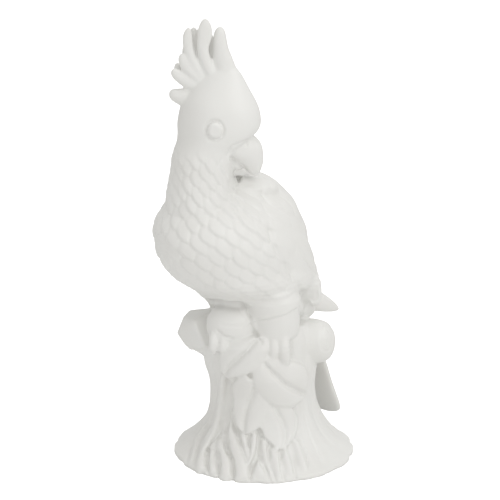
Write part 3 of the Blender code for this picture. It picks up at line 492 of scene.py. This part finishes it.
def melt(piece, grain, rounds):
    skin = piece.modifiers.new("melt", "REMESH")
    skin.mode, skin.voxel_size = "VOXEL", grain
    ease = piece.modifiers.new("ease", "SMOOTH")
    ease.factor, ease.iterations = 0.5, rounds
    apply_all(piece)


bpy.ops.object.select_all(action="DESELECT")
for form in clay:
    form.select_set(True)
bpy.context.view_layer.objects.active = trunk
bpy.ops.object.join()
figure = bpy.context.object
figure.name = "cockatoo_cast"
melt(figure, FIRST_GRAIN, 3)

# A three-cornered pocket is pressed in where the throat, the lower beak and the shoulder meet. It runs
# in along the camera's line, from a wide mouth in front of the bird to a small bottom behind its throat.
POCKET_FACE, POCKET_MOUTH, POCKET_BOTTOM = -18, -50, 0
bpy.ops.object.select_all(action="DESELECT")
bpy.ops.mesh.primitive_cylinder_add(vertices=3, radius=1, depth=1, location=(0, 0, 0))
pocket = bpy.context.object
mouth = {0: (-16.5, 203.6), 1: (-3, 203.6), 2: (-9.4, 184)}
bottom = {0: (-12.2, 200), 1: (-6.4, 200), 2: (-9.6, 196)}
ends = points_of(pocket)
which = (np.round(np.degrees(np.arctan2(ends[:, 0], ends[:, 1])) / 120) % 3).astype(int)
drop = math.tan(math.radians(19))
set_points(pocket, [
    (mouth[k][0], POCKET_MOUTH, mouth[k][1] + (POCKET_FACE - POCKET_MOUTH) * drop) if end > 0
    else (bottom[k][0], POCKET_BOTTOM, bottom[k][1] + (POCKET_FACE - POCKET_BOTTOM) * drop)
    for k, end in zip(which, ends[:, 2])
])
bpy.ops.object.mode_set(mode="EDIT")
bpy.ops.mesh.select_all(action="SELECT")
bpy.ops.mesh.normals_make_consistent(inside=False)
bpy.ops.object.mode_set(mode="OBJECT")
bpy.context.view_layer.objects.active = figure
press = figure.modifiers.new("pocket", "BOOLEAN")
press.operation, press.solver, press.object = "DIFFERENCE", "EXACT", pocket
bpy.ops.object.modifier_apply(modifier="pocket")
bpy.data.objects.remove(pocket)

skin, facing = points_of(figure), points_of(figure, "normal")
rise = np.zeros(len(skin))


def groove(line, depth, width, high_y=0.0):
    """A line cut into the front of the figure, along places (x, z), where it lies nearer than high_y."""
    line = np.asarray(line, float)
    front = (facing[:, 1] < 0.35) & (skin[:, 1] < high_y)
    flat = skin[front][:, (0, 2)]
    near = np.full(len(flat), 99.0)
    for a, b in zip(line, line[1:]):
        along = b - a
        t = np.clip((flat - a) @ along / (along @ along), 0, 1)
        near = np.minimum(near, np.linalg.norm(flat - a - t[:, None] * along, axis=1))
    rise[front] -= depth * np.exp(-((near / width) ** 2))


def share_of(rows):
    """How far each point lies from a drawn-up form's own axis, as a share of its outline."""
    rows = np.array(rows)
    z = skin[:, 2]
    cx, cy, a, b, heading = (np.interp(z, rows[:, 0], rows[:, k]) for k in range(1, 6))
    h = np.radians(heading)
    dx, dy = skin[:, 0] - cx, skin[:, 1] - cy
    share = np.hypot((dx * np.cos(h) + dy * np.sin(h)) / a, (dy * np.cos(h) - dx * np.sin(h)) / b)
    return np.where((z > rows[0, 0]) & (z < rows[-1, 0]), share, 9.0)


def feathers(u, v):
    """Soft pads in slanting rows, each row lying over the next one down, each pad raised to its rounded tip."""
    height, done = np.zeros(u.shape), np.zeros(u.shape, bool)
    along, row_at = v + 0.45 * u, v - 0.55 * u
    along = along + 0.08 * np.sin(1.9 * row_at + 0.6 * along)
    row_at = row_at + 0.08 * np.sin(1.6 * along + 1.3)
    for back in (1, 0):
        row = np.floor(row_at) - back
        low = row_at - row
        place = along - 0.5 * (low - 0.5) + 0.1 * np.sin(5.1 * row)
        number = np.floor(place) * 3.1 + row * 7.3
        across = np.abs(place % 1.0 - 0.5 + 0.04 * np.sin(number)) * 2
        edge = 1 + 0.15 * (1 - across**2.2) + 0.05 * np.sin(3.7 * number)
        here = ~done & (low <= edge)
        share = np.clip(low / edge, 0, 1)
        pad = (1 - 0.15 * across**2 - 0.45 * across**8) * (0.3 + 0.7 * share**0.8) * (1 - share**10)
        height = np.where(here, pad * (1 + 0.12 * np.sin(2.3 * number)), height)
        done |= here
    return height


FEATHER_ROW, FEATHER_LIFT, WING_STEP = 11.5, 2.1, 1.6
COLUMNS, FEWER_ON_NECK = 35, 11
z = skin[:, 2]
torso_share, neck_share = share_of(torso_rows), share_of(head_rows)
up_neck = soft_step(z, 125, 214)
middle_x, middle_y = -10 - 24 * up_neck, -2 - 15 * up_neck
turns = (np.arctan2(skin[:, 1] - middle_y, skin[:, 0] - middle_x) / (2 * math.pi) + 0.78) % 1 - 0.5
u = turns * (COLUMNS - FEWER_ON_NECK * soft_step(z, 145, 224))
v = -(z - 115.2 + 0.08 * (skin[:, 0] + 14)) / FEATHER_ROW
down = soft_step(z, 113, 138) * (1 - soft_step(z, 210, 222))
down *= 1 - soft_step(np.minimum(np.abs(torso_share - 1), np.abs(neck_share - 1)), 0.2, 0.45)
down *= 1 - soft_step(skin[:, 0], -17, -14) * soft_step(z, 194, 198)
around = np.degrees(np.arctan2(skin[:, 1] + 2, skin[:, 0] + 14))
ahead = np.abs((around - 224 + 180) % 360 - 180)
border = np.interp(z, [108, 125, 141, 155, 169, 182], [124, 112, 97, 88, 85, 100])
wing = soft_step(ahead - border, -1.5, 1.5) * soft_step(torso_share, 0.9, 1.0) * (torso_share < 2.2)
wing *= soft_step(z, 84, 92) * (1 - soft_step(z, 176, 186))
seen = (skin[:, 1] < -4) & (skin[:, 0] > 0)
edge_x = np.interp(z, [112, 124.4, 133.4, 155.5, 170.7, 182], [36, 30.7, 24.7, 14.2, 10, 8.6])
fade = soft_step(z, 112, 122) * (1 - soft_step(z, 166, 178))
wing = np.where(seen, soft_step(skin[:, 0] - edge_x, -0.8, 2.2) * fade, wing)
rise -= 0.9 * seen * fade * np.exp(-(((skin[:, 0] - edge_x + 0.6) / 1.3) ** 2))
vanes = np.abs(((ahead - border + (z - 140) * 0.12) / 11.0) % 1.0 - 0.12)
long = (1 - soft_step(z, 142, 158)) * soft_step(ahead - border, 18, 24)
rise += FEATHER_LIFT * down * feathers(u, v) * (1 - wing * long) * (1 - 0.72 * wing)
belly = soft_step(z, 112, 118) * (1 - soft_step(z, 128, 138)) * (torso_share < 1.2)
rise += 0.2 * np.sin(1.9 * z + 0.9 * np.sin(0.16 * skin[:, 0])) * belly
rise += WING_STEP * wing + 0.9 * wing * long * (np.clip(vanes * 4, 0, 1) - 1)

# Rings round the eyes, the lines of the beak and its nostril
for near in (-1, 1):
    side = facing[:, 1] * near > 0.2
    far = np.hypot((skin[:, 0] + 24.1) / EYE_LENGTH, (z - 234.2) / EYE_HEIGHT)
    rise -= side * 1.9 * np.exp(-(((far - 1.07) / 0.12) ** 2))
    rise += side * 0.5 * np.exp(-(((far - 0.62) / 0.2) ** 2)) * (far < 1)
groove([(-14.6, 214), (-11.6, 210.4), (-8.4, 207.6), (-4.4, 203.6)], 1.2, 0.9, high_y=-16)
groove([(-16, 217), (-13.6, 222.4), (-8.2, 224.6), (0.5, 226.6)], 1.0, 0.9, high_y=-10)
groove([(-4.3, 221.4), (-4.1, 222.2)], 1.2, 0.9, high_y=-16)
# The band on the right leg, the gaps over and beside it, the lip between the cuffs, the outer toe's
# rings and the log's growth rings
groove([(-21, 103), (-14, 102.2), (-7, 102)], 0.6, 0.9)
groove([(-31, 109), (-27, 113.6), (-20, 116), (-9, 116), (-4.6, 114), (-2.2, 108)], 4.4, 1.8)
groove([(-2.2, 108), (-1.6, 102), (1.4, 95.6), (6, 92)], 1.8, 1.2)
groove([(-23.2, 98), (-18.6, 94.8), (-14, 93.6)], 1.6, 0.9)
lip = np.interp(skin[:, 0], [-3, 2.5, 13, 21, 26], [102, 106, 109, 110.7, 112.5])
cuff = (facing[:, 1] < 0.3) * (1 - soft_step(np.hypot(skin[:, 0] - 13.4, skin[:, 1] + 22), 19, 22))
cuff = cuff * (1 - soft_step(z, 117, 121))
rise += 1.3 * cuff * soft_step(z - lip, -0.5, 0.4) - 0.5 * cuff * np.exp(-(((z - lip + 0.9) / 0.7) ** 2))
for ring in range(6):
    groove([(19.4, 93.4 - 2.9 * ring), (26, 93 - 2.9 * ring)], 0.4, 0.6)
for ring in (2.6, 5.4, 8.4):
    turn = np.linspace(0, 2 * math.pi, 30)
    groove(np.column_stack([49.4 + 0.5 * ring * np.cos(turn), 84.7 + ring * np.sin(turn)]), 0.8, 0.8)
# A dark, roughly scratched hollow behind the cuffs, under the wing's end
hidden = np.exp(-(((skin[:, 0] - 33.6) / 3.2) ** 4) - ((z - 110.5) / 8.5) ** 4)
hidden = hidden * (facing[:, 1] < -0.1) * (skin[:, 1] > -26)
rise -= hidden * (4.4 + 0.8 * np.sin(2.6 * skin[:, 0] + 1.1 * z) * np.sin(2.1 * z - 0.9 * skin[:, 0]))
# Gaps between the roots, each with its depth and width
for line, depth, width in [
    ([(-16.8, 60), (-14.9, 51.1), (-14.9, 42), (-16.9, 31.1), (-18.9, 23.2)], 2.2, 1.1),
    ([(-18.6, 17.4), (-13.9, 11.1), (-13.1, 6.5), (-13.6, 0)], 2.4, 1.0),
    ([(-13.7, 36.8), (-12.4, 27.3), (-9.9, 22.4), (-7.7, 17.9), (-3.9, 11.3)], 1.1, 0.8),
    ([(-12, 28), (-10.3, 24.4)], 1.0, 1.2),
    ([(-3.5, 23.9), (-2.4, 17.9), (-2.6, 13.4)], 1.4, 0.8),
    ([(3.9, 26.9), (3.8, 19.3), (2.6, 13.6), (-0.6, 8.7), (-2.4, 2)], 2.2, 0.9),
    ([(4.8, 27.2), (5.6, 24.3)], 1.2, 1.1),
    ([(6.1, 23.9), (11.8, 18.8), (17, 16.5), (20, 16)], 1.0, 0.8),
    ([(3.5, 13.1), (7.4, 8.9), (11.6, 2)], 1.6, 0.8),
    ([(10.2, 17.8), (10.8, 10.7), (14.9, 2)], 1.6, 0.8),
    ([(18.2, 15.3), (18.8, 8.5), (20.7, 2)], 1.8, 0.8),
    ([(23.4, 17), (27.2, 8.7), (28.1, 2)], 1.2, 0.8),
    ([(31.2, 20.8), (34.4, 14.1), (37.6, 6.5)], 1.0, 0.7),
    ([(32.9, 40.3), (38.4, 18.9), (44.9, 6.7)], 0.7, 0.7),
    ([(29, 39.7), (28.5, 28.8), (25.3, 18.2)], 0.8, 0.8),
    ([(-23.4, 13.4), (-22.4, 9), (-23, 5), (-23.8, 0)], 2.2, 0.9),
    ([(-30.2, 12), (-30.8, 6.9), (-29.5, 1)], 1.6, 0.9),
    ([(-21.5, 27.4), (-21.6, 22), (-26.2, 16.4), (-32, 9.6)], 0.8, 0.8),
    ([(-28.1, 23), (-36.2, 12.1), (-39.6, 5)], 1.0, 0.9),
    ([(-34.3, 18), (-41.7, 8.4), (-45.4, 2)], 0.9, 0.9),
    ([(-24.6, 60), (-25.3, 40), (-28.8, 25.1)], 0.9, 0.9),
]:
    groove(line, depth, width)

set_points(figure, skin + facing * rise[:, None])
melt(figure, LAST_GRAIN, 2)

# The cast is hollow: slip fills the mould, sets against it to an even wall and is poured out through
# the foot. The foot is then rubbed flat so that the figurine stands.
WALL, STUMP_WALL = 5.0, 6
OPENING_LENGTH, OPENING_WIDTH = 54, 52.4
FACES_KEPT = 185000
clay.clear()
draw_up("stump_hollow", [
    (z, x, y, min(a - STUMP_WALL, OPENING_LENGTH), min(b - STUMP_WALL, OPENING_WIDTH), h)
    for z, x, y, a, b, h in trunk_rows
], 30, 48)
draw_up("body_hollow", [(z, x, y, a - WALL, b - WALL, h) for z, x, y, a, b, h in torso_rows[1:-2]], 24, 40)
draw_up("neck_hollow", [(z, x, y, a - WALL, b - WALL, h) for z, x, y, a, b, h in head_rows[:-4]], 20, 32)
draw_out("passage", [bird(-13, 0, -24), bird(-13, 0, 2), bird(-13, 0, 28)], [15] * 3, [15] * 3, LEFT, 2, 32, 24)
bpy.ops.object.select_all(action="DESELECT")
for form in clay:
    form.select_set(True)
bpy.context.view_layer.objects.active = clay[0]
bpy.ops.object.join()
hollow = bpy.context.object
melt(hollow, HOLLOW_GRAIN, 6)
bpy.ops.object.select_all(action="DESELECT")
bpy.ops.mesh.primitive_cube_add(size=1, location=(0, 0, -20), scale=(300, 300, 40))
under_foot = bpy.context.object
bpy.ops.object.select_all(action="DESELECT")
bpy.context.view_layer.objects.active = figure
figure.select_set(True)
for name, tool in (("cast_hollow", hollow), ("foot_plane", under_foot)):
    away = figure.modifiers.new(name, "BOOLEAN")
    away.operation, away.solver, away.object = "DIFFERENCE", "EXACT", tool
    bpy.ops.object.modifier_apply(modifier=name)
bpy.data.objects.remove(hollow)
bpy.data.objects.remove(under_foot)
thin = figure.modifiers.new("fewer_faces", "DECIMATE")
thin.ratio = min(1.0, FACES_KEPT / sum(len(face.vertices) - 2 for face in figure.data.polygons))
bpy.ops.object.modifier_apply(modifier=thin.name)

# The figure stands over the middle of the part's frame, in metres, with its foot on the table
TO_FRAME = (-1.625, 2.955, 0)
skin = points_of(figure)
skin[:, 2] = np.where(skin[:, 2] < 0.15, 0, skin[:, 2])
set_points(figure, (skin + TO_FRAME) * 0.001)
bpy.ops.object.shade_smooth()

# Matt white porcelain: unglazed bisque, rubbed to a satin, with a faint warm tone in places
white = bpy.data.materials.new("matt_porcelain")
white.use_nodes = True
nodes, links = white.node_tree.nodes, white.node_tree.links
shader = nodes["Principled BSDF"]
where = nodes.new("ShaderNodeTexCoord")
cloud = nodes.new("ShaderNodeTexNoise")
cloud.inputs["Scale"].default_value = 22
cloud.inputs["Detail"].default_value = 3
tone = nodes.new("ShaderNodeValToRGB")
tone.color_ramp.elements[0].position, tone.color_ramp.elements[1].position = 0.3, 0.7
tone.color_ramp.elements[0].color = (0.815, 0.81, 0.785, 1)
tone.color_ramp.elements[1].color = (0.85, 0.85, 0.83, 1)
rub = nodes.new("ShaderNodeMapRange")
rub.inputs["To Min"].default_value, rub.inputs["To Max"].default_value = 0.36, 0.48
grit = nodes.new("ShaderNodeTexNoise")
grit.inputs["Scale"].default_value = 700
grit.inputs["Detail"].default_value = 2
bump = nodes.new("ShaderNodeBump")
bump.inputs["Strength"].default_value = 0.06
bump.inputs["Distance"].default_value = 0.0003
links.new(where.outputs["Object"], cloud.inputs["Vector"])
links.new(where.outputs["Object"], grit.inputs["Vector"])
links.new(cloud.outputs["Fac"], tone.inputs["Fac"])
links.new(cloud.outputs["Fac"], rub.inputs["Value"])
links.new(tone.outputs["Color"], shader.inputs["Base Color"])
links.new(rub.outputs["Result"], shader.inputs["Roughness"])
links.new(grit.outputs["Fac"], bump.inputs["Height"])
links.new(bump.outputs["Normal"], shader.inputs["Normal"])
figure.data.materials.clear()
figure.data.materials.append(white)

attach(figure, "root")
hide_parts("cockatoo")
